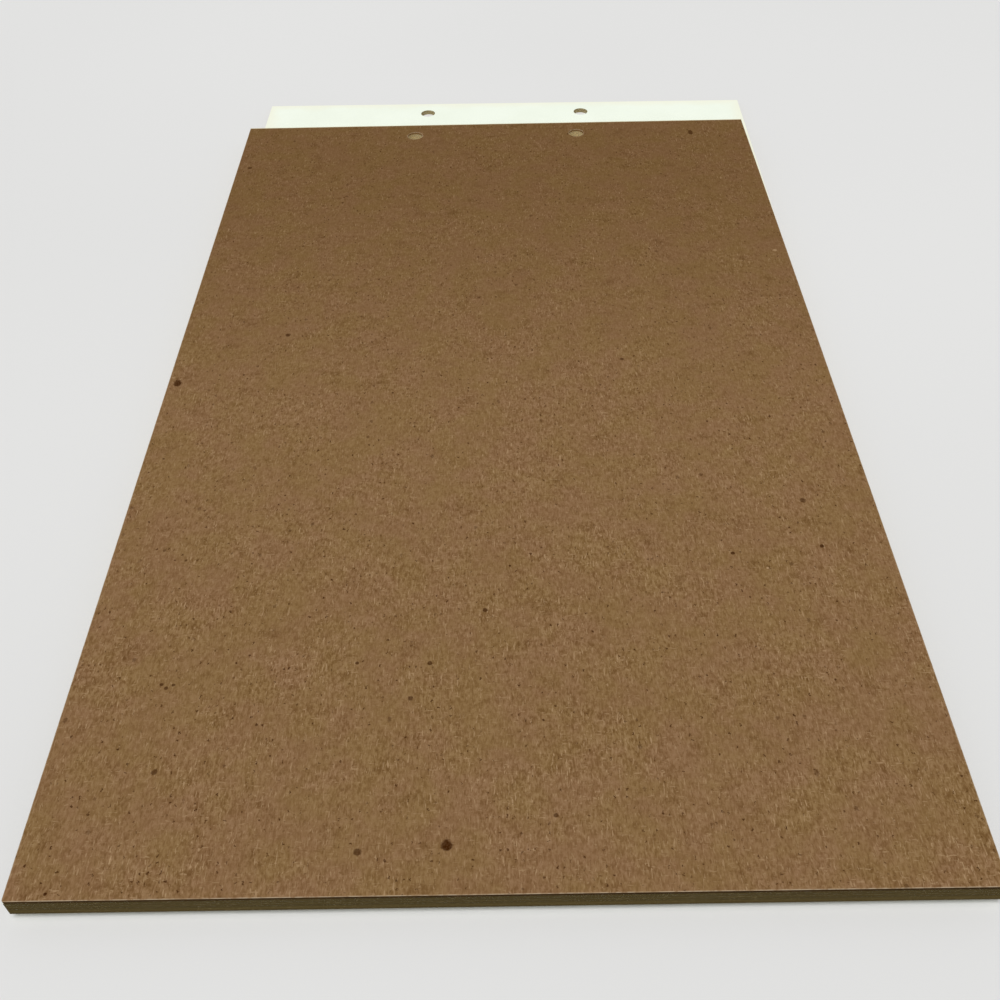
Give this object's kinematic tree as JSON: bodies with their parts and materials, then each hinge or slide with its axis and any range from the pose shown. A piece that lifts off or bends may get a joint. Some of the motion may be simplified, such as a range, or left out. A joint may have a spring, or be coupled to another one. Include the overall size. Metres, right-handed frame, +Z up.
{
  "type": "columnar pad",
  "caption": "Face-down legal-size columnar pad: punched ruled sheets and a chipboard back glued along the head end, with torn-off sheets lying loose beneath it.",
  "frame": {"origin": "middle of the whole object's footprint, on the surface that it lies on", "axes": "+Y along the sheets towards the glued and punched head end, +Z up out of the chipboard back, +X across the pad to the right as seen from the foot end"},
  "size_m": [0.2202, 0.3896, 0.0077],
  "materials": {
    "chipboard": "matte",
    "ledger_paper": "matte",
    "padding_glue": "satin"
  },
  "bodies": {
    "front_leaves": {"sheet_15": "ledger_paper", "sheet_16": "ledger_paper", "sheet_17": "ledger_paper", "sheet_18": "ledger_paper", "sheet_19": "ledger_paper", "sheet_20": "ledger_paper", "sheet_21": "ledger_paper", "sheet_22": "ledger_paper", "sheet_23": "ledger_paper", "sheet_24": "ledger_paper", "sheet_25": "ledger_paper", "sheet_26": "ledger_paper", "sheet_27": "ledger_paper", "sheet_28": "ledger_paper", "sheet_29": "ledger_paper", "sheet_30": "ledger_paper", "glue_front_leaves": "padding_glue"},
    "loose_sheets": {"sheet_01": "ledger_paper", "sheet_02": "ledger_paper", "sheet_03": "ledger_paper", "sheet_04": "ledger_paper", "sheet_05": "ledger_paper", "sheet_06": "ledger_paper", "sheet_07": "ledger_paper", "sheet_08": "ledger_paper", "sheet_09": "ledger_paper", "sheet_10": "ledger_paper", "sheet_11": "ledger_paper", "sheet_12": "ledger_paper", "sheet_13": "ledger_paper", "sheet_14": "ledger_paper"},
    "lower_leaves": {"sheet_31": "ledger_paper", "sheet_32": "ledger_paper", "sheet_33": "ledger_paper", "sheet_34": "ledger_paper", "sheet_35": "ledger_paper", "sheet_36": "ledger_paper", "sheet_37": "ledger_paper", "glue_lower_leaves": "padding_glue"},
    "middle_leaves": {"sheet_38": "ledger_paper", "sheet_39": "ledger_paper", "sheet_40": "ledger_paper", "sheet_41": "ledger_paper", "sheet_42": "ledger_paper", "sheet_43": "ledger_paper", "glue_middle_leaves": "padding_glue"},
    "upper_leaves": {"sheet_44": "ledger_paper", "sheet_45": "ledger_paper", "sheet_46": "ledger_paper", "sheet_47": "ledger_paper", "sheet_48": "ledger_paper", "sheet_49": "ledger_paper", "glue_upper_leaves": "padding_glue"},
    "back_leaf": {"sheet_50": "ledger_paper", "glue_back_leaf": "padding_glue"},
    "backing": {"backing_board": "chipboard", "glue_board": "padding_glue"}
  },
  "joints": [
    {"name": "loose_sheets_slide", "type": "slide", "parent": "front_leaves", "child": "loose_sheets", "axis": [0.0122, 0.9999, 0], "range_m": [-0.0327, 0.14]},
    {"name": "lower_leaves_turn", "type": "hinge", "parent": "front_leaves", "child": "lower_leaves", "pos_m": [-0.00193, 0.16116, 0.00404], "axis": [-1, 0, 0], "range_deg": [0, 25]},
    {"name": "middle_leaves_turn", "type": "hinge", "parent": "lower_leaves", "child": "middle_leaves", "pos_m": [-0.00193, 0.16116, 0.00499], "axis": [-1, 0, 0], "range_deg": [0, 25]},
    {"name": "upper_leaves_turn", "type": "hinge", "parent": "middle_leaves", "child": "upper_leaves", "pos_m": [-0.00193, 0.16116, 0.0058], "axis": [-1, 0, 0], "range_deg": [0, 25]},
    {"name": "back_leaf_turn", "type": "hinge", "parent": "upper_leaves", "child": "back_leaf", "pos_m": [-0.00193, 0.16116, 0.00661], "axis": [-1, 0, 0], "range_deg": [0, 25]},
    {"name": "backing_turn", "type": "hinge", "parent": "back_leaf", "child": "backing", "pos_m": [-0.00193, 0.16116, 0.00674], "axis": [-1, 0, 0], "range_deg": [0, 70]}
  ]
}
